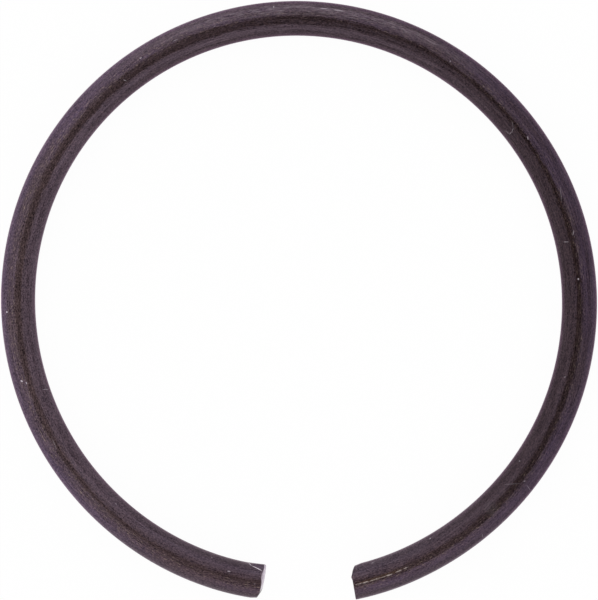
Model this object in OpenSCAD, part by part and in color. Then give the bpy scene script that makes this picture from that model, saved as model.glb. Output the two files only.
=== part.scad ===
// Round-wire snap ring: an open ring of spring wire that sits in a groove.
// Millimetres. +Z is the ring's axis and z = 0 the wire's middle plane.
// The gap is centred on -Y. Going anticlockwise, seen from +Z, the wire starts
// at the lead end, right of the gap, and stops at the tail end, left of it.

/* [Wire] */
// Diameter of the round spring wire
wire_d = 2; // [1.6:0.1:2.5]

/* [Ring] */
// Inside diameter of the free ring
bore_d = 30.8; // [26:0.2:45]
// Free gap between the middles of the two cut faces
gap = 5.4; // [2:0.1:12]

/* [Lead end] */
// Bend angle of the stretch that is coiled wider, up to the lead end
lead_bend = 33; // [15:1:60]
// How much larger its radius is than the rest of the ring's
lead_widening = 0.9; // [0:0.05:2]

/* [Sheared faces] */
// Lean of the shear cut, in the ring's plane, from square across the wire
cut_lean = 3.5; // [0:0.5:12]
// Lean of the shear cut out of the ring's plane
cut_tilt = 3; // [0:0.5:10]
// How far across the face the blade rolls over the edge where it goes in
roll_w = 0.55; // [0.3:0.05:0.7]
// How far back along the wire that rolled edge reaches
roll_l = 0.18; // [0.1:0.02:0.26]

/* [Tool mark] */
// Depth of the flat pressed into the tail end's upper inner edge, at the face
flat_depth = 0.06; // [0.03:0.01:0.15]
// Length along the wire over which the flat runs out
flat_run = 1; // [0.6:0.1:2]
// Direction the flat faces: 180 straight into the bore, 90 straight up
flat_facing = 162; // [110:1:175]

/* [Hidden] */
$fn = 96;

wire_r = wire_d / 2;
ring_r = (bore_d + wire_d) / 2;
lead_r = ring_r + lead_widening;

// The two arcs join on a common tangent, so the lead arc's centre lies
// lead_widening beyond the ring's own centre, on the line from their joint.
// From there the law of cosines gives the lead end's distance to the axis.
tip_x = lead_r * cos(lead_bend) - lead_widening;
tip_y = lead_r * sin(lead_bend);
tip_r = sqrt(tip_x ^ 2 + tip_y ^ 2);

// Angles about the ring's axis: from the joint back to the lead end, from each
// end to the middle of the gap, and the rest, which the main arc fills
lead_sweep = atan2(tip_y, tip_x);
lead_half_gap = asin(gap / 2 / tip_r);
tail_half_gap = asin(gap / 2 / ring_r);
main_sweep = 360 - lead_sweep - lead_half_gap - tail_half_gap;
gap_at = -90;

// Both arcs run on by this angle, and the shear takes it off
stock_angle = 8;

// The rolled edge is one arc, from roll_w across the face to roll_l back along
// the wire. A slight crease marks its start on the face: the arc's chord and
// that crease give its radius, and its centre stands over edge_reach.
crease = 4;
edge_corner = wire_r * [1, -tan(cut_lean)];
across_face = [-cos(cut_lean), sin(cut_lean)];
into_wire = [-sin(cut_lean), -cos(cut_lean)];
roll_chord = roll_w * across_face + [0, roll_l];
chord_angle = asin(roll_l * cos(cut_lean) / norm(roll_chord));
roll_r = norm(roll_chord) / 2 / sin(chord_angle - crease);
edge_reach = roll_w + roll_r * sin(crease);

// A wire of this curvature falls away from its own tangent over the flat's run
flat_sag = flat_run ^ 2 / 2 / ring_r * abs(cos(flat_facing));
flat_ramp = atan2(flat_depth + flat_sag, flat_run);

// A stretch of wire bent to a circle, anticlockwise from an angle
module bent_wire(radius, from, sweep) {
    rotate_extrude(angle = sweep, start = from)
        translate([radius, 0])
            circle(d = wire_d);
}

// The joint of the two arcs stands on +X here
module coiled_wire() {
    bent_wire(ring_r, 0, main_sweep + stock_angle);
    translate([-lead_widening, 0])
        bent_wire(lead_r, -lead_bend - stock_angle, lead_bend + stock_angle);
}

// Frames at the two cuts: +X out of the ring and +Y anticlockwise along it
module at_tail() {
    rotate([0, 0, main_sweep])
        translate([ring_r, 0])
            children();
}

module at_lead() {
    translate([-lead_widening, 0])
        rotate([0, 0, -lead_bend])
            translate([lead_r, 0])
                children();
}

// The corner between the wire's side and its cut face, past the rolled arc
module rolled_edge() {
    translate(edge_corner)
        difference() {
            circle(r = edge_reach);
            translate(edge_reach * across_face + roll_r * cos(crease) * into_wire)
                circle(r = roll_r);
        }
}

// One oblique plane cuts the wire between a ring's tail and the next one's
// lead, so the two faces lean alike and are rolled over on opposite sides:
// which_side is 0 for the tail and 180 for the lead
module shear_cut(which_side) {
    rotate([-cut_tilt, 0, 0])
        rotate([0, 0, which_side])
            linear_extrude(height = 2 * wire_d, center = true) {
                rotate(-cut_lean)
                    translate([-wire_d, 0])
                        square(2 * wire_d);
                rolled_edge();
            }
}

// The flat that the cutting tool presses into the tail end
module tool_flat() {
    rotate([0, -flat_facing, 0])
        rotate([0, 0, flat_ramp])
            translate([wire_r - flat_depth, -2 * flat_run, -wire_d])
                cube([wire_d, 4 * flat_run, 2 * wire_d]);
}

module snap_ring() {
    color([0.30, 0.25, 0.27])
        rotate([0, 0, gap_at + lead_half_gap + lead_sweep])
            difference() {
                coiled_wire();
                at_tail() {
                    shear_cut(0);
                    tool_flat();
                }
                at_lead()
                    shear_cut(180);
            }
}

snap_ring();
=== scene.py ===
from math import asin, atan2, cos, exp, hypot, pi, radians, sin, sqrt, tan

import bmesh
import bpy
from mathutils import Matrix, Vector


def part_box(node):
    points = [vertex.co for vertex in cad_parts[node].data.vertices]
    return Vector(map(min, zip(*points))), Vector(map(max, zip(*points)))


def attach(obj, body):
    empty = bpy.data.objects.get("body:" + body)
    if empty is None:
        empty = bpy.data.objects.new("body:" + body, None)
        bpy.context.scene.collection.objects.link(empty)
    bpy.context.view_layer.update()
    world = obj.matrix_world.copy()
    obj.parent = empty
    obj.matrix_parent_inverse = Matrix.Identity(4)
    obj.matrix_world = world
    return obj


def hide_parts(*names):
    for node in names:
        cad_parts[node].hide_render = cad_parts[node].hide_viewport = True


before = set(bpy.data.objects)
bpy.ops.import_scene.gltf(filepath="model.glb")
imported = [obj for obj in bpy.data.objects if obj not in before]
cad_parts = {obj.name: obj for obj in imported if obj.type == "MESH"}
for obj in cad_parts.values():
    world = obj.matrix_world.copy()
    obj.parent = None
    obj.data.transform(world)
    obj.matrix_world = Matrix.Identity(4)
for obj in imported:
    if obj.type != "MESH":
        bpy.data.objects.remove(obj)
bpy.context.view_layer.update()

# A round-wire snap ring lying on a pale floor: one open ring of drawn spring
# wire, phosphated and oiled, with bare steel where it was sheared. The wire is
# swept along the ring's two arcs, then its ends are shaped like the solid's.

MM = 0.001

# The wire and the ring, from the frame, in millimetres
low_corner, high_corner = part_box("snap_ring")
WIRE_R = (high_corner[2] - low_corner[2]) / 2 / MM
RING_R = (high_corner[0] - low_corner[0]) / 2 / MM - WIRE_R

# The gap and the lead end, which is coiled wider, as the solid has them
GAP = 5.4
LEAD_BEND = radians(33)
LEAD_WIDENING = 0.9
LEAD_R = RING_R + LEAD_WIDENING

# The sheared faces, as the solid has them
CUT_LEAN = radians(3.5)
CUT_TILT = radians(3)
ROLL_W = 0.55
ROLL_L = 0.18
CREASE = radians(4)

# The flat that the cutting tool left on the tail end, as the solid has it
FLAT_DEPTH = 0.06
FLAT_RUN = 1.0
FLAT_FACING = radians(162)

# Where the shear tore each face off its plane: x and z in its tip frame, size, height
TAIL_TEARS = [(-0.45, 0.85, 0.35, -0.07), (-1.0, 0.0, 0.35, -0.08), (0.0, 0.95, 0.40, 0.04)]
LEAD_TEARS = [(-0.90, 0.30, 0.60, 0.065), (0.42, 0.91, 0.12, 0.05)]

# How far back along the wire the shear still shifts its skin, and draws it in
FACE_REACH = 0.8
DRAWN_IN = 0.06

# How far the shear bends each tip inwards, and the length that bends
TAIL_SET = 0.03
LEAD_SET = 0.02
SET_REACH = 3.0

# The ridge that the tool raised beside the flat, and the metal it pushed inwards
RIDGE_HEIGHT = 0.02
RIDGE_WIDTH = 0.05
BULGE_HEIGHT = 0.035
BULGE_FACING = radians(195)
BULGE_SPREAD = radians(23)

# The lead end's place, seen from the joint of the two arcs, which is on +X
TIP_X = LEAD_R * cos(LEAD_BEND) - LEAD_WIDENING
TIP_Y = LEAD_R * sin(LEAD_BEND)
LEAD_SWEEP = atan2(TIP_Y, TIP_X)
LEAD_HALF_GAP = asin(GAP / 2 / hypot(TIP_X, TIP_Y))
TAIL_HALF_GAP = asin(GAP / 2 / RING_R)
MAIN_SWEEP = 2 * pi - LEAD_SWEEP - LEAD_HALF_GAP - TAIL_HALF_GAP
JOINT_AT = -pi / 2 + LEAD_HALF_GAP + LEAD_SWEEP

# Mesh density: faces round the wire, and their length along it
SIDES = 96
STEP = 0.13
FINE_STEP = 0.04
FINE_RUN = 1.6
FACE_RINGS = 14

# Dust and lint: along the wire from the tail, across from its crown, half length,
# half width, all in millimetres, then turn in degrees and strength
DUST = [
    (73.83, 0.06, 0.056, 0.044, 0, 0.70),
    (71.62, -0.31, 0.16, 0.022, 80, 0.50),
    (71.22, 0.22, 0.15, 0.028, -26, 0.40),
    (68.94, 0.24, 0.42, 0.018, -18, 0.30),
    (65.27, 0.12, 0.11, 0.034, -25, 0.48),
    (64.13, -0.10, 0.19, 0.02, -28, 0.22),
    (64.40, -0.34, 0.17, 0.022, -60, 0.36),
    (64.45, -0.57, 0.11, 0.022, -80, 0.42),
    (64.28, -0.70, 0.17, 0.02, 14, 0.32),
    (59.08, 0.18, 0.062, 0.038, 90, 0.34),
    (52.16, 0.66, 0.31, 0.031, 0, 0.56),
    (51.36, 0.66, 0.25, 0.031, 0, 0.56),
    (48.50, 0.75, 0.075, 0.038, 90, 0.56),
    (45.05, 0.18, 0.075, 0.038, 10, 0.16),
    (42.64, 0.22, 0.15, 0.025, 0, 0.40),
    (40.40, 0.29, 0.075, 0.038, 0, 0.56),
    (38.91, -0.25, 0.11, 0.022, -60, 0.50),
    (23.24, 0.50, 0.056, 0.056, 0, 1.00),
    (19.21, 0.24, 0.075, 0.050, 45, 0.95),
    (19.03, -0.01, 0.062, 0.038, 0, 0.75),
    (18.31, -1.06, 0.24, 0.022, 77, 0.45),
    (15.08, -0.10, 0.34, 0.018, -7, 0.35),
    (9.97, -0.74, 0.062, 0.025, 0, 0.42),
    (3.23, -0.99, 0.045, 0.035, 0, 0.35),
    (1.95, -0.41, 0.10, 0.038, 0, 0.50),
    (0.32, 0.01, 0.06, 0.05, 0, 0.12),
    (96.22, -1.06, 0.12, 0.05, 15, 0.26),
    (92.38, -0.94, 0.062, 0.038, 0, 0.56),
    (89.80, 0.90, 0.16, 0.022, 68, 0.28),
    (88.35, -0.10, 0.40, 0.42, 0, 0.05),
    (86.48, -0.14, 0.46, 0.020, -46, 0.22),
    (86.10, 0.83, 0.31, 0.020, 74, 0.25),
    (85.92, 0.32, 0.06, 0.040, 0, 0.35),
    (85.16, -0.63, 0.05, 0.050, 0, 0.42),
    (79.51, -0.24, 0.06, 0.040, -45, 0.28),
]

# The scratch along the lead end's crown, and the oily stain that it lies in
SCRATCH = [
    (97.30, 0.050, 0.26, 0.030, 2, 0.55),
    (96.90, 0.050, 0.18, 0.045, 0, 0.80),
    (96.33, 0.040, 0.34, 0.040, 2, 0.60),
    (95.80, 0.046, 0.18, 0.025, 0, 0.50),
    (95.48, 0.051, 0.21, 0.040, 0, 0.85),
    (94.87, 0.040, 0.21, 0.034, 0, 0.70),
    (94.40, 0.030, 0.15, 0.034, 0, 0.65),
]
STAIN = [(96.0, 0.0, 1.5, 0.09, 0, 0.35)]

# The bare ridge beside the tool's flat, partly a painted highlight, the flat, and painted
# highlight streaks along the top of the outer flank
BARE_RIDGE_HIGHLIGHT = [(0.87, -1.30, 0.22, 0.030, -52, 0.8), (0.37, -0.995, 0.40, 0.032, -23.5, 1.0)]
FLAT = [(0.25, -1.33, 0.60, 0.30, -20, 0.9)]
HIGHLIGHT_STREAKS = [(49.0, 0.64, 11.0, 0.42, 0, 1.0)]

# The ways from the ring's middle to the side that painted light makes lighter and to the side that
# painted shade makes darker and browner
LIT_SIDE = radians(184)
SHADED_SIDE = radians(20)

# Colours of the phosphate coat, the second lighter for painted light and dry patches, and of what
# lies bare on it; the lint's colour also paints the bare ridge's highlight
PHOSPHATE = (0.041, 0.025, 0.026, 1)
LIT_DRY_PHOSPHATE = (0.089, 0.058, 0.059, 1)
CRYSTAL = (0.160, 0.122, 0.095, 1)
OILY_STAIN = (0.13, 0.075, 0.035, 1)
SCRATCHED_STEEL = (0.46, 0.39, 0.37, 1)
PALE_LINT_AND_HIGHLIGHT = (0.56, 0.50, 0.55, 1)

# Colours of the oil's gloss: plain, lighter for painted light and dry patches, paler for the
# painted highlight streaks, and on the flat
OIL = (0.046, 0.037, 0.046, 1)
LIT_DRY_OIL = (0.071, 0.059, 0.082, 1)
STREAK_HIGHLIGHT_STEEL = (0.21, 0.18, 0.20, 1)
PRESSED_STEEL = (0.035, 0.030, 0.075, 1)

# Tints that either colour takes on some sides of the wire. The second is a painted sheen, the
# third painted shade on the ring's right side and the fourth painted shade on the outer side of
# the ends
VIOLET_TINT = (0.97, 0.93, 1.38, 1)
FLANK_SHEEN_TINT = (1.00, 1.00, 1.25, 1)
SIDE_SHADE_TINT = (0.82, 0.78, 0.70, 1)
OUTER_END_SHADE_TINT = (0.72, 0.76, 0.68, 1)
INNER_END_TINT = (0.92, 1.02, 1.09, 1)
EDGE_TINT = (0.55, 0.30, 0.50, 1)

# Colours of the cut faces
STEEL_HOLLOW = (0.34, 0.27, 0.34, 1)
STEEL_BRIGHT = (0.86, 0.77, 0.86, 1)
# The next colour is painted shade, which darkens each face towards the top
STEEL_TOP_SHADE = (0.40, 0.33, 0.38, 1)
ROLLED_COAT = (0.055, 0.038, 0.045)

# Grain of the cut faces, in millimetres: score lines and torn metal
SCORE_LENGTH = 1.5
SCORE_WIDTH = 0.07
TEAR_SIZE = 0.2

# The photograph's camera, in the ring's own frame
CAMERA_TILT = radians(8.94)
CAMERA_TOWARDS = radians(16.45)
CAMERA_ROLL = radians(2.75)
CAMERA_DISTANCE = 188.4
PHOTO_WIDTH = 598
PHOTO_HEIGHT = 600
FOCAL_PIXELS = 3259.5
RING_CENTRE_PIXEL = (295.21, 302.98)

# Dark ovals over the ring, which its crown mirrors: middle, height and half widths in
# millimetres, then tone
SHADES = [
    ("shade_right", 20, -28, 112, 42, 52, 0.03),
    ("shade_front", -18, -60, 113, 44, 22, 0.5),
    ("shade_high", -50, 52, 500, 95, 115, 0.02),
]

# The tent's strength, and its brighter and dimmer parts: azimuth, elevation, spread, strength
TENT_STRENGTH = 0.9
GLOW_CORE = 10
GLOWS = [
    (95, 45, 60, 0.5),
    (85, 8, 50, 0.42),
    (-75, 25, 60, 0.55),
    (-105, 5, 50, 0.45),
    (165, 45, 45, -0.05),
    (42, 38, 28, -0.08),
    (0, 40, 60, -0.22),
    (15, 42, 28, 0.35),
]

# The floor's half width in metres, and how much of what is seen of it is plain white
FLOOR_HALF = 1.5
FLOOR_CLEAN = 0.97


class Field:
    """An output in a material's tree. Arithmetic on it adds Math nodes."""

    def __init__(self, finish, socket):
        self.finish = finish
        self.socket = socket

    def __add__(self, other):
        return self.finish.math("ADD", self, other)

    def __sub__(self, other):
        return self.finish.math("SUBTRACT", self, other)

    def __rsub__(self, other):
        return self.finish.math("SUBTRACT", other, self)

    def __mul__(self, other):
        return self.finish.math("MULTIPLY", self, other)

    def __truediv__(self, other):
        return self.finish.math("DIVIDE", self, other)

    def __rtruediv__(self, other):
        return self.finish.math("DIVIDE", other, self)

    def __abs__(self):
        return self.finish.math("ABSOLUTE", self)

    __radd__ = __add__
    __rmul__ = __mul__


class Finish:
    """A material or a world, built node by node."""

    def __init__(self, owner):
        owner.use_nodes = True
        self.owner = owner
        self.tree = owner.node_tree
        self.tree.nodes.clear()

    def node(self, kind, settings, sockets, output=0):
        made = self.tree.nodes.new(kind)
        for name, value in settings.items():
            setattr(made, name, value)
        for name, value in sockets.items():
            if isinstance(value, Field):
                self.tree.links.new(value.socket, made.inputs[name])
            else:
                made.inputs[name].default_value = value
        return Field(self, made.outputs[output]) if made.outputs else None

    def math(self, operation, *values):
        return self.node("ShaderNodeMath", {"operation": operation}, dict(enumerate(values)))

    def blend(self, share, first, second):
        """A colour between two colours."""
        mix = {"data_type": "RGBA", "clamp_factor": True}
        return self.node("ShaderNodeMix", mix, {0: share, 6: first, 7: second}, 2)

    def tinted(self, share, colour, tint):
        """A colour, part of the way to its product with a tint."""
        mix = {"data_type": "RGBA", "blend_type": "MULTIPLY", "clamp_factor": True}
        return self.node("ShaderNodeMix", mix, {0: share, 6: colour, 7: tint}, 2)

    def scaled(self, colour, factor):
        """A colour, lighter or darker."""
        sockets = {0: colour, "Scale": factor}
        return self.node("ShaderNodeVectorMath", {"operation": "SCALE"}, sockets)

    def ramp(self, value, start, end):
        """0 at start, 1 at end and smooth between them, whichever is greater."""
        sockets = {"Value": value, "From Min": start, "From Max": end}
        if start > end:
            sockets |= {"From Min": end, "From Max": start, "To Min": 1.0, "To Max": 0.0}
        return self.node("ShaderNodeMapRange", {"interpolation_type": "SMOOTHSTEP"}, sockets)

    def vector(self, x, y, z):
        return self.node("ShaderNodeCombineXYZ", {}, {"X": x, "Y": y, "Z": z})

    def part(self, vector, axis):
        """The x, y or z of a vector."""
        return self.node("ShaderNodeSeparateXYZ", {}, {"Vector": vector}, axis)

    def object_place(self):
        """The place on the object, in metres."""
        return self.node("ShaderNodeTexCoord", {}, {}, 3)

    def speckle(self, place, scale, detail=2.0, roughness=0.5):
        """Noise, from 0 to 1, at a scale in features per unit of place."""
        sockets = {"Vector": place, "Scale": scale, "Detail": detail, "Roughness": roughness}
        return self.node("ShaderNodeTexNoise", {}, sockets)

    def bumped(self, height):
        """A normal from a height in millimetres."""
        sockets = {"Height": height * MM, "Strength": 1.0, "Distance": 1.0}
        return self.node("ShaderNodeBump", {}, sockets)


class WireFinish(Finish):
    """The wire's material. It knows the place on the wire, in millimetres, and its grain."""

    def __init__(self, name):
        super().__init__(bpy.data.materials.new(name))
        place = self.object_place()
        self.east = self.part(place, 0) / MM
        self.north = self.part(place, 1) / MM

        self.map = self.node("ShaderNodeUVMap", {"uv_map": "wire"}, {})
        self.along = self.part(self.map, 0)
        self.across = self.part(self.map, 1)
        self.outward = self.math("SINE", self.across / WIRE_R) * WIRE_R
        self.upward = self.math("COSINE", self.across / WIRE_R) * WIRE_R

        self.grain = self.drawn(0.11, 0.055, 1.0) - 0.5
        self.lines = self.drawn(1.6, 0.07) - 0.5
        self.dents = self.drawn(0.5, 0.25)
        self.patches = self.drawn(4.0, 1.1) - 0.5

        self.upper = self.ramp(self.upward, -0.1, 0.5)
        self.gapward = self.ramp(self.north, -0.6 * RING_R, -RING_R)
        # Painted shade darkens the wire's outer side near the ends, in the coat and in the gloss
        self.shaded_outer_ends = self.gapward * self.ramp(self.outward, 0.2, 0.7) * self.upper
        self.inner_ends = self.gapward * self.ramp(self.outward, -0.1, -0.7) * self.upper

    def drawn(self, length, width, detail=2.0):
        """Noise stretched along the wire, as drawing it leaves."""
        stretched = self.vector(self.along / length, self.outward / width, self.upward / width)
        return self.speckle(stretched, 1.0, detail)

    def sideward(self, azimuth):
        """How far the place lies to one side of the ring's middle."""
        return self.east * cos(azimuth) + self.north * sin(azimuth)

    def mark(self, along, across, half_length, half_width, turn, strength):
        """Its strength on a small oval on the wire's map, and 0 beside it."""
        sockets = {
            "Vector": self.map,
            "Location": (along, across, 0),
            "Rotation": (0, 0, radians(turn)),
            "Scale": (half_length, half_width, 1),
        }
        local = self.node("ShaderNodeMapping", {"vector_type": "TEXTURE"}, sockets)
        distance = self.node("ShaderNodeVectorMath", {"operation": "LENGTH"}, {0: local}, 1)
        return self.ramp(distance, 1.3, 0.6) * strength

    def marks(self, rows):
        """The strongest of several marks."""
        strongest = 0.0
        for row in rows:
            strongest = self.math("MAXIMUM", self.mark(*row), strongest)
        return strongest


def tip_frame(turn, radius, centre, half_turn):
    """The frame at a cut: +X to the rolled edge's side, +Y out of the wire into the gap, +Z up."""
    joint = Matrix.Rotation(JOINT_AT, 4, "Z")
    tip = joint @ Matrix.Translation((centre, 0, 0)) @ Matrix.Rotation(turn, 4, "Z")
    return tip @ Matrix.Translation((radius, 0, 0)) @ Matrix.Rotation(half_turn, 4, "Z")


TAIL = tip_frame(MAIN_SWEEP, RING_R, 0, 0)
LEAD = tip_frame(-LEAD_BEND, LEAD_R, -LEAD_WIDENING, pi)


def roll_arc():
    """The radius of the rolled edge's arc, and how far from the corner its centre stands."""
    chord_x = -ROLL_W * cos(CUT_LEAN)
    chord_y = ROLL_W * sin(CUT_LEAN) + ROLL_L
    chord = hypot(chord_x, chord_y)
    radius = chord / 2 / sin(asin(ROLL_L * cos(CUT_LEAN) / chord) - CREASE)
    return radius, ROLL_W + radius * sin(CREASE)


ROLL_R, EDGE_REACH = roll_arc()


def face_height(x, z, tilt):
    """How far the cut face stands out at a place across the wire, in its tip frame."""
    height = z * tan(tilt) - x * tan(CUT_LEAN)
    from_centre = EDGE_REACH - (WIRE_R - x) / cos(CUT_LEAN)
    if WIRE_R - x < ROLL_W:
        height -= ROLL_R * cos(CREASE) - sqrt(ROLL_R ** 2 - from_centre ** 2)
    return height


def coiled(centre, radius, start, sweep, step, doublings=0):
    """A stretch of the wire: a piece is spun round, then doubled until it fills the sweep."""
    bm = bmesh.new()
    upright = Matrix.Translation((radius, 0, 0)) @ Matrix.Rotation(pi / 2, 4, "X")
    stand = Matrix.Translation((centre, 0, 0)) @ Matrix.Rotation(start, 4, "Z") @ upright
    bmesh.ops.create_circle(bm, segments=SIDES, radius=WIRE_R, matrix=stand)
    piece = sweep / 2 ** doublings
    bmesh.ops.spin(
        bm,
        geom=bm.verts[:] + bm.edges[:],
        cent=(centre, 0, 0),
        axis=(0, 0, 1),
        angle=piece,
        steps=round(abs(piece) * radius / step),
    )
    for _ in range(doublings):
        parts = bmesh.ops.duplicate(bm, geom=bm.verts[:] + bm.edges[:] + bm.faces[:])["geom"]
        copy = [part for part in parts if isinstance(part, bmesh.types.BMVert)]
        turn = Matrix.Rotation(piece, 3, "Z")
        bmesh.ops.rotate(bm, verts=copy, cent=(centre, 0, 0), matrix=turn)
        piece *= 2
    return mesh_from(bm, "stretch")


def mesh_from(bm, name):
    mesh = bpy.data.meshes.new(name)
    bm.to_mesh(mesh)
    bm.free()
    return mesh


def place_in_scene(name, mesh):
    made = bpy.data.objects.new(name, mesh)
    bpy.context.scene.collection.objects.link(made)
    return made


def swept_wire():
    """The open wire, with finer steps at its ends."""
    tail_end = FINE_RUN / RING_R
    lead_end = FINE_RUN / LEAD_R
    stretches = [
        coiled(0, RING_R, MAIN_SWEEP - tail_end, tail_end, FINE_STEP),
        coiled(0, RING_R, 0, MAIN_SWEEP - tail_end, STEP, 4),
        coiled(-LEAD_WIDENING, LEAD_R, 0, lead_end - LEAD_BEND, STEP),
        coiled(-LEAD_WIDENING, LEAD_R, lead_end - LEAD_BEND, -lead_end, FINE_STEP),
    ]
    bm = bmesh.new()
    for stretch in stretches:
        bm.from_mesh(stretch)
        bpy.data.meshes.remove(stretch)
    bmesh.ops.remove_doubles(bm, verts=bm.verts[:], dist=0.001)
    turn = Matrix.Rotation(JOINT_AT, 3, "Z")
    bmesh.ops.rotate(bm, verts=bm.verts[:], cent=(0, 0, 0), matrix=turn)
    return bm


def close_ends(bm):
    """Fills both ends with fine rings of faces, in the second and the third material."""
    rims = [edge for edge in bm.edges if edge.is_boundary]
    for edge in rims:
        edge.smooth = False
    ring_width = WIRE_R / (FACE_RINGS + 1)
    for cap in bmesh.ops.holes_fill(bm, edges=rims)["faces"]:
        cap.material_index = 1 if cap.calc_center_median().x < 0 else 2
        for _ in range(FACE_RINGS):
            bmesh.ops.inset_region(bm, faces=[cap], thickness=ring_width, use_even_offset=False)
        bmesh.ops.poke(bm, faces=[cap])


def near_tip(bm, frame_at_tip, reach):
    """Each point of the wire within reach of a tip, with its place in the tip's frame."""
    to_tip = frame_at_tip.inverted()
    for vert in bm.verts:
        place = to_tip @ vert.co
        if -reach < place.y < WIRE_R and hypot(place.x, place.z) < 1.5 * WIRE_R:
            yield vert, place


def shape_end(bm, frame_at_tip, tilt, tears):
    """Leans, rolls and tears the face, and eases the shift out along the wire's side."""
    for vert, place in near_tip(bm, frame_at_tip, FACE_REACH):
        height = face_height(place.x, place.z, tilt)
        for x, z, size, rise in tears:
            height += rise * exp(-((place.x - x) ** 2 + (place.z - z) ** 2) / size ** 2)
        share = 1 + place.y / FACE_REACH
        place.x -= DRAWN_IN * max(0, place.x / WIRE_R) ** 2 * share ** 2
        place.y += share * share * (3 - 2 * share) * height
        vert.co = frame_at_tip @ place


def press_flat(bm):
    """Presses the cutting tool's flat into the tail end, with the metal it pushes aside."""
    sag = FLAT_RUN ** 2 / 2 / RING_R * abs(cos(FLAT_FACING))
    ramp = atan2(FLAT_DEPTH + sag, FLAT_RUN)
    out = Vector((cos(FLAT_FACING) * cos(ramp), sin(ramp), sin(FLAT_FACING) * cos(ramp)))
    half_width = sqrt(2 * FLAT_DEPTH * WIRE_R)
    for vert, place in near_tip(bm, TAIL, 2 * FLAT_RUN):
        around = hypot(place.x, place.z)
        if 0.9 * WIRE_R < around < 1.1 * WIRE_R:
            above = place.dot(out) - (WIRE_R - FLAT_DEPTH)
            from_bulge = atan2(place.z, place.x) % (2 * pi) - BULGE_FACING
            raised = BULGE_HEIGHT * exp(-(from_bulge / BULGE_SPREAD) ** 2)
            if place.z > 0:
                raised += RIDGE_HEIGHT * exp(-(above / half_width / RIDGE_WIDTH) ** 2)
            if above > 0:
                place -= above * out
            side = Vector((place.x, 0, place.z)) / around
            vert.co = TAIL @ (place + raised * sqrt(max(0, 1 + place.y / FLAT_RUN)) * side)


def bend_tip(bm, frame_at_tip, shift):
    """Bends the wire's tip, by a shift against the frame's +X."""
    for vert, place in near_tip(bm, frame_at_tip, SET_REACH):
        place.x -= shift * (1 + min(0, place.y) / SET_REACH) ** 2
        vert.co = frame_at_tip @ place


def keep_inside(bm):
    """Holds every point inside the solid's box, which the torn corners overstep by a hair."""
    for vert in bm.verts:
        for axis, (low, high) in enumerate(zip(low_corner, high_corner)):
            vert.co[axis] = min(max(vert.co[axis], low), high)


def map_place(spot):
    """Millimetres along the wire from the tail, and across it from its crown."""
    along_main = atan2(spot.y, spot.x) % (2 * pi)
    if along_main > MAIN_SWEEP + TAIL_HALF_GAP:
        along = MAIN_SWEEP * RING_R - atan2(spot.y, spot.x + LEAD_WIDENING) * LEAD_R
        outward = hypot(spot.x + LEAD_WIDENING, spot.y) - LEAD_R
    else:
        along = (MAIN_SWEEP - along_main) * RING_R
        outward = hypot(spot.x, spot.y) - RING_R
    return [along, WIRE_R * atan2(outward, spot.z)]


def wire_map(bm):
    """Writes the wire's own map, whole in each face."""
    layer = bm.loops.layers.uv.new("wire")
    joint = Matrix.Rotation(-JOINT_AT, 4, "Z")
    for face in bm.faces:
        places = [map_place(joint @ loop.vert.co) for loop in face.loops]
        across = [place[1] for place in places]
        if max(across) - min(across) > pi * WIRE_R:
            for place in places:
                place[1] %= 2 * pi * WIRE_R
        for loop, place in zip(face.loops, places):
            loop[layer].uv = place


def make_ring(*finishes):
    """The whole ring: wire, tail face and lead face in their own materials."""
    bm = swept_wire()
    close_ends(bm)
    shape_end(bm, TAIL, CUT_TILT, TAIL_TEARS)
    shape_end(bm, LEAD, -CUT_TILT, LEAD_TEARS)
    press_flat(bm)
    wire_map(bm)
    bend_tip(bm, TAIL, TAIL_SET)
    bend_tip(bm, LEAD, -LEAD_SET)
    bmesh.ops.scale(bm, vec=(MM, MM, MM), verts=bm.verts[:])
    keep_inside(bm)
    bmesh.ops.recalc_face_normals(bm, faces=bm.faces[:])
    for face in bm.faces:
        face.smooth = True
    mesh = mesh_from(bm, "spring_wire")
    for finish in finishes:
        mesh.materials.append(finish)
    return place_in_scene("spring_wire", mesh)


def lit_and_dry_phosphate(wire):
    """1 where the coat is lighter, and 0 under wet oil: painted light on the ring's left side, dry
    grey patches, and more on the wire's outer side and near the gap.
    """
    leftward = wire.sideward(LIT_SIDE) + wire.outward * 6.0 + wire.patches * 8.0
    lit_and_dry = wire.ramp(leftward, -0.3 * RING_R, 1.15 * RING_R)
    return wire.math("MAXIMUM", lit_and_dry, wire.gapward * 0.35)


def bare_crystals(wire, lit_and_dry):
    """1 on the brown crystals that stand out of the oil, most of them along the crown."""
    crystals = wire.ramp(wire.drawn(0.3, 0.055, 1.0), 0.52, 0.74)
    near_crown = wire.ramp(abs(wire.across - 0.2), 0.38, 0.08)
    return crystals * (near_crown * (lit_and_dry * 0.5 + 0.4) + 0.06)


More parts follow.
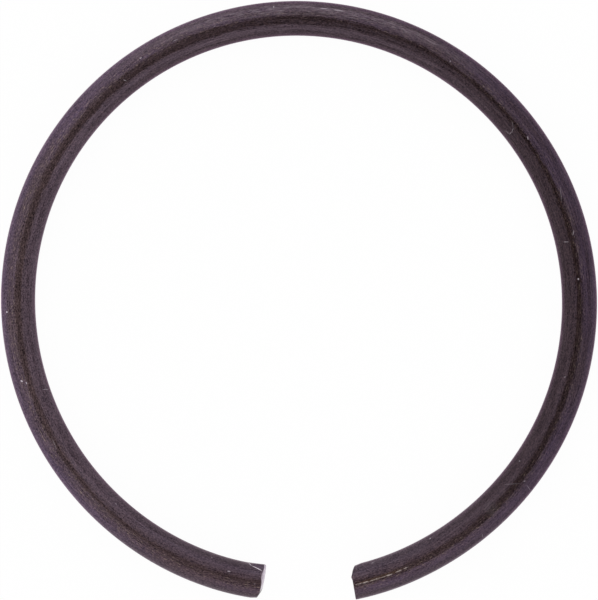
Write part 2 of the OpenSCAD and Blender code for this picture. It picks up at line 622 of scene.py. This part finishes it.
def coat_colour(wire, lit_and_dry, crystals, scratch, dust_and_ridge_highlight):
    """The phosphate coat, with painted light and shade on its sides, a painted sheen on its lit
    flanks, its stain, the scratch through it, the dust on it and the bare ridge's painted
    highlight.
    """
    sheen_flanks = wire.ramp(abs(wire.across), 0.3, 0.9) * wire.upper
    side_shade = wire.ramp(wire.sideward(SHADED_SIDE), 0.8 * RING_R, RING_R)
    # Painted light makes the coat lighter on the ring's lit side, and dry patches lighten it too
    coat = wire.blend(lit_and_dry, PHOSPHATE, LIT_DRY_PHOSPHATE)
    # A painted sheen tints the coat violet on the flanks of the lit side
    coat = wire.tinted(sheen_flanks * lit_and_dry, coat, FLANK_SHEEN_TINT)
    coat = wire.tinted(wire.shaded_outer_ends, coat, OUTER_END_SHADE_TINT)
    coat = wire.tinted(wire.inner_ends, coat, INNER_END_TINT)
    # Painted shade makes the coat darker and browner on the ring's right side
    coat = wire.tinted(side_shade, coat, SIDE_SHADE_TINT)
    coat = wire.blend(crystals, coat, CRYSTAL)
    coat = wire.scaled(coat, wire.grain * 3.4 + wire.lines * 1.4 + 1.0)
    coat = wire.blend(wire.marks(STAIN), coat, OILY_STAIN)
    coat = wire.blend(scratch, coat, SCRATCHED_STEEL)
    return wire.blend(dust_and_ridge_highlight, coat, PALE_LINT_AND_HIGHLIGHT)


def film_colour(wire, lit_and_dry):
    """The oil's gloss: violet on the outer side, lighter with painted light on the lit side,
    darker towards the tail end, with painted shade at the outer side of the ends, painted
    highlight streaks on the outer flank's top, dark on the flat.
    """
    highlight_zone = wire.marks(HIGHLIGHT_STREAKS)
    highlight_streaks = highlight_zone * wire.ramp(wire.drawn(0.45, 0.05, 3.0), 0.42, 0.78)
    outer = wire.ramp(wire.outward + wire.patches * 2.0, -0.2, 0.8)
    violet = outer * (1.0 - highlight_zone * 0.7) * wire.upper
    # The gloss is darker towards the tail end
    darker_tail = wire.gapward * wire.ramp(wire.east, 0.0, -4.0) * 0.4
    # Painted light makes the gloss lighter on the ring's lit side, and dry patches lighten it too
    film = wire.blend(lit_and_dry, OIL, LIT_DRY_OIL)
    film = wire.tinted(violet, film, VIOLET_TINT)
    film = wire.scaled(film, (wire.grain * 2.0 + wire.lines * 2.5 + 1.0) * (1.0 - darker_tail))
    film = wire.tinted(wire.shaded_outer_ends, film, OUTER_END_SHADE_TINT)
    film = wire.tinted(wire.inner_ends, film, INNER_END_TINT)
    # Painted highlight: pale streaks along the top of the outer flank
    film = wire.blend(highlight_streaks, film, STREAK_HIGHLIGHT_STEEL)
    return wire.blend(wire.marks(FLAT), film, PRESSED_STEEL)


def oiled_wire():
    """Phosphated spring wire under a film of oil: warm black, with a violet gloss."""
    wire = WireFinish("oiled_wire")
    lit_and_dry = lit_and_dry_phosphate(wire)
    crystals = bare_crystals(wire, lit_and_dry)
    scratch = wire.marks(SCRATCH) * wire.ramp(wire.grain, -0.35, 0.1)
    # Dust and lint, and the bare ridge beside the flat, whose pale line is partly a painted
    # highlight
    dust_and_ridge_highlight = wire.math("MAXIMUM", wire.marks(DUST), wire.marks(BARE_RIDGE_HIGHLIGHT))
    bump = wire.bumped(wire.grain * 0.0015 + wire.lines * 0.006 + wire.dents * 0.02)
    phosphate = wire.node(
        "ShaderNodeBsdfPrincipled",
        {},
        {
            "Base Color": coat_colour(wire, lit_and_dry, crystals, scratch, dust_and_ridge_highlight),
            "Roughness": 0.3,
            "IOR": 1.45,
            "Specular Tint": EDGE_TINT,
            "Normal": bump,
        },
    )
    oil = wire.node(
        "ShaderNodeBsdfPrincipled",
        {},
        {
            "Base Color": film_colour(wire, lit_and_dry),
            "Metallic": 1.0,
            "Roughness": 0.13 + wire.dents * 0.08,
            "Specular Tint": EDGE_TINT,
            "Normal": bump,
        },
    )
    gloss = 0.5 - lit_and_dry * 0.08 - wire.gapward * 0.15 - wire.grain * 0.5 - crystals * 0.25
    gloss = gloss * (1.0 - wire.math("MAXIMUM", dust_and_ridge_highlight, scratch))
    shader = wire.node("ShaderNodeMixShader", {}, {0: gloss, 1: phosphate, 2: oil})
    wire.node("ShaderNodeOutputMaterial", {}, {"Surface": shader})
    return wire.owner


def rolled_depth(finish, place, frame_at_tip):
    """How far a place on a cut face lies towards its rolled edge, in millimetres."""
    middle = tuple(frame_at_tip.to_translation() * MM)
    to_rolled = tuple(frame_at_tip.to_3x3().col[0] / MM)
    offset = finish.node("ShaderNodeVectorMath", {"operation": "SUBTRACT"}, {0: place, 1: middle})
    sockets = {0: offset, 1: to_rolled}
    return finish.node("ShaderNodeVectorMath", {"operation": "DOT_PRODUCT"}, sockets, 1)


def sheared_steel(name, frame_at_tip):
    """Bare steel: scored where the blade slid, torn on the far side, darkened towards the top by
    painted shade.
    """
    finish = Finish(bpy.data.materials.new(name))
    place = finish.object_place()
    rise = finish.part(place, 2) / MM
    depth = rolled_depth(finish, place, frame_at_tip)

    score = finish.speckle(finish.vector(depth / SCORE_LENGTH, 0.0, rise / SCORE_WIDTH), 1.0)
    tear = finish.speckle(place, 1 / (TEAR_SIZE * MM), 4.0, 0.6)
    torn = finish.ramp(depth + (tear - 0.5) * 0.4, 0.25, 0.0)
    shaded_top = finish.ramp(rise + (tear - 0.5) * 0.8, -0.2, 1.0) * 0.85
    rolled = finish.ramp(depth + (tear - 0.5) * 0.15, 0.42, 0.52)
    grain = finish.ramp(score * (1.0 - torn) + tear * torn, 0.25, 0.75)

    colour = finish.blend(grain, STEEL_HOLLOW, STEEL_BRIGHT)
    colour = finish.tinted(shaded_top, colour, STEEL_TOP_SHADE)
    colour = finish.blend(rolled, colour, finish.scaled(ROLLED_COAT, tear * 3.0 - 0.5))
    height = score * (1.0 - torn) * 0.006 + tear * torn * 0.03 + tear * rolled * 0.01
    shader = finish.node(
        "ShaderNodeBsdfPrincipled",
        {},
        {
            "Base Color": colour,
            "Metallic": 1.0,
            "Roughness": 0.28 + torn * 0.2 + rolled * 0.12,
            "Normal": finish.bumped(height),
        },
    )
    finish.node("ShaderNodeOutputMaterial", {}, {"Surface": shader})
    return finish.owner


def seen_directly(finish):
    """1 for what the camera sees, straight or mirrored, and 0 for what lights the object."""
    kinds = ("Is Camera Ray", "Is Glossy Ray", "Is Transmission Ray")
    camera, glossy, through = [finish.node("ShaderNodeLightPath", {}, {}, kind) for kind in kinds]
    return finish.math("MAXIMUM", finish.math("MAXIMUM", camera, glossy), through)


def make_floor():
    """A pale floor whose white is its own colour, and which keeps the ring's soft shadow."""
    finish = Finish(bpy.data.materials.new("pale_floor"))
    paper = finish.node("ShaderNodeBsdfDiffuse", {}, {"Color": (0.9, 0.9, 0.9, 1)})
    white = finish.node("ShaderNodeEmission", {}, {"Color": (1, 1, 1, 1), "Strength": 1.0})
    share = seen_directly(finish) * FLOOR_CLEAN
    surface = finish.node("ShaderNodeMixShader", {}, {0: share, 1: paper, 2: white})
    finish.node("ShaderNodeOutputMaterial", {}, {"Surface": surface})
    bm = bmesh.new()
    level = Matrix.Translation((0, 0, low_corner[2]))
    bmesh.ops.create_grid(bm, size=FLOOR_HALF, matrix=level)
    mesh = mesh_from(bm, "floor")
    mesh.materials.append(finish.owner)
    place_in_scene("floor", mesh)


def towards(azimuth, elevation):
    """The direction of a lamp or a part of the tent, from the ring, by its angles in degrees."""
    turn, rise = radians(azimuth), radians(elevation)
    return Vector((cos(rise) * cos(turn), cos(rise) * sin(turn), sin(rise)))


def make_surroundings():
    """A white tent, brighter behind the ring and a little in front of it."""
    world = bpy.data.worlds.new("tent")
    bpy.context.scene.world = world
    finish = Finish(world)
    direction = finish.node("ShaderNodeTexCoord", {}, {}, 0)
    strength = TENT_STRENGTH
    for azimuth, elevation, spread, glow in GLOWS:
        sockets = {0: direction, 1: tuple(towards(azimuth, elevation))}
        nearness = finish.node("ShaderNodeVectorMath", {"operation": "DOT_PRODUCT"}, sockets, 1)
        shown = finish.ramp(nearness, cos(radians(spread)), cos(radians(GLOW_CORE)))
        strength = shown * glow + strength
    tent = finish.node("ShaderNodeBackground", {}, {"Color": (1, 1, 1, 1), "Strength": strength})
    white = finish.node("ShaderNodeBackground", {}, {"Color": (1, 1, 1, 1), "Strength": 1.0})
    camera_ray = finish.node("ShaderNodeLightPath", {}, {}, "Is Camera Ray")
    surface = finish.node("ShaderNodeMixShader", {}, {0: camera_ray, 1: tent, 2: white})
    finish.node("ShaderNodeOutputWorld", {}, {"Surface": surface})


def make_shade(name, x, y, height, half_x, half_y, tone):
    """One dark oval over the ring, unseen by the camera."""
    finish = Finish(bpy.data.materials.new(name))
    shader = finish.node("ShaderNodeBsdfDiffuse", {}, {"Color": (tone, tone, tone, 1)})
    finish.node("ShaderNodeOutputMaterial", {}, {"Surface": shader})
    bm = bmesh.new()
    bmesh.ops.create_circle(bm, cap_ends=True, segments=64, radius=MM)
    bmesh.ops.scale(bm, vec=(half_x, half_y, 1), verts=bm.verts[:])
    bmesh.ops.translate(bm, vec=Vector((x, y, height)) * MM, verts=bm.verts[:])
    mesh = mesh_from(bm, name)
    mesh.materials.append(finish.owner)
    shade = place_in_scene(name, mesh)
    shade.visible_camera = False


def softbox(name, azimuth, elevation, distance, size, radiance):
    """A square lamp facing the ring. Its radiance is on the scale where a white floor has 1."""
    lamp = bpy.data.lights.new(name, "AREA")
    lamp.shape = "SQUARE"
    lamp.size = size
    lamp.energy = pi * size ** 2 * radiance
    light = place_in_scene(name, lamp)
    light.location = towards(azimuth, elevation) * distance
    light.rotation_euler = light.location.to_track_quat("Z", "Y").to_euler()


def make_camera():
    """The photograph's view: nearly straight down, from a little to the right."""
    data = bpy.data.cameras.new("camera")
    data.sensor_fit = "HORIZONTAL"
    data.lens = data.sensor_width * FOCAL_PIXELS / PHOTO_WIDTH
    data.shift_x = (PHOTO_WIDTH / 2 - RING_CENTRE_PIXEL[0]) / PHOTO_WIDTH
    data.shift_y = (RING_CENTRE_PIXEL[1] - PHOTO_HEIGHT / 2) / PHOTO_WIDTH
    data.clip_start = 0.01
    aside = sin(CAMERA_TILT)
    back = Vector((aside * cos(CAMERA_TOWARDS), aside * sin(CAMERA_TOWARDS), cos(CAMERA_TILT)))
    up_hint = Vector((sin(CAMERA_ROLL), cos(CAMERA_ROLL), 0))
    right = up_hint.cross(back).normalized()
    up = back.cross(right)
    camera = place_in_scene("camera", data)
    turn = Matrix((right, up, back)).transposed().to_4x4()
    camera.matrix_world = Matrix.Translation(back * CAMERA_DISTANCE * MM) @ turn
    bpy.context.scene.camera = camera


bpy.context.scene.view_settings.view_transform = "Standard"
make_camera()
make_floor()
make_surroundings()
for shade in SHADES:
    make_shade(*shade)
softbox("key", azimuth=85, elevation=12, distance=0.3, size=0.2, radiance=0.25)

tail_face = sheared_steel("sheared_tail", TAIL)
lead_face = sheared_steel("sheared_lead", LEAD)
ring = make_ring(oiled_wire(), tail_face, lead_face)
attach(ring, "root")
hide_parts("snap_ring")
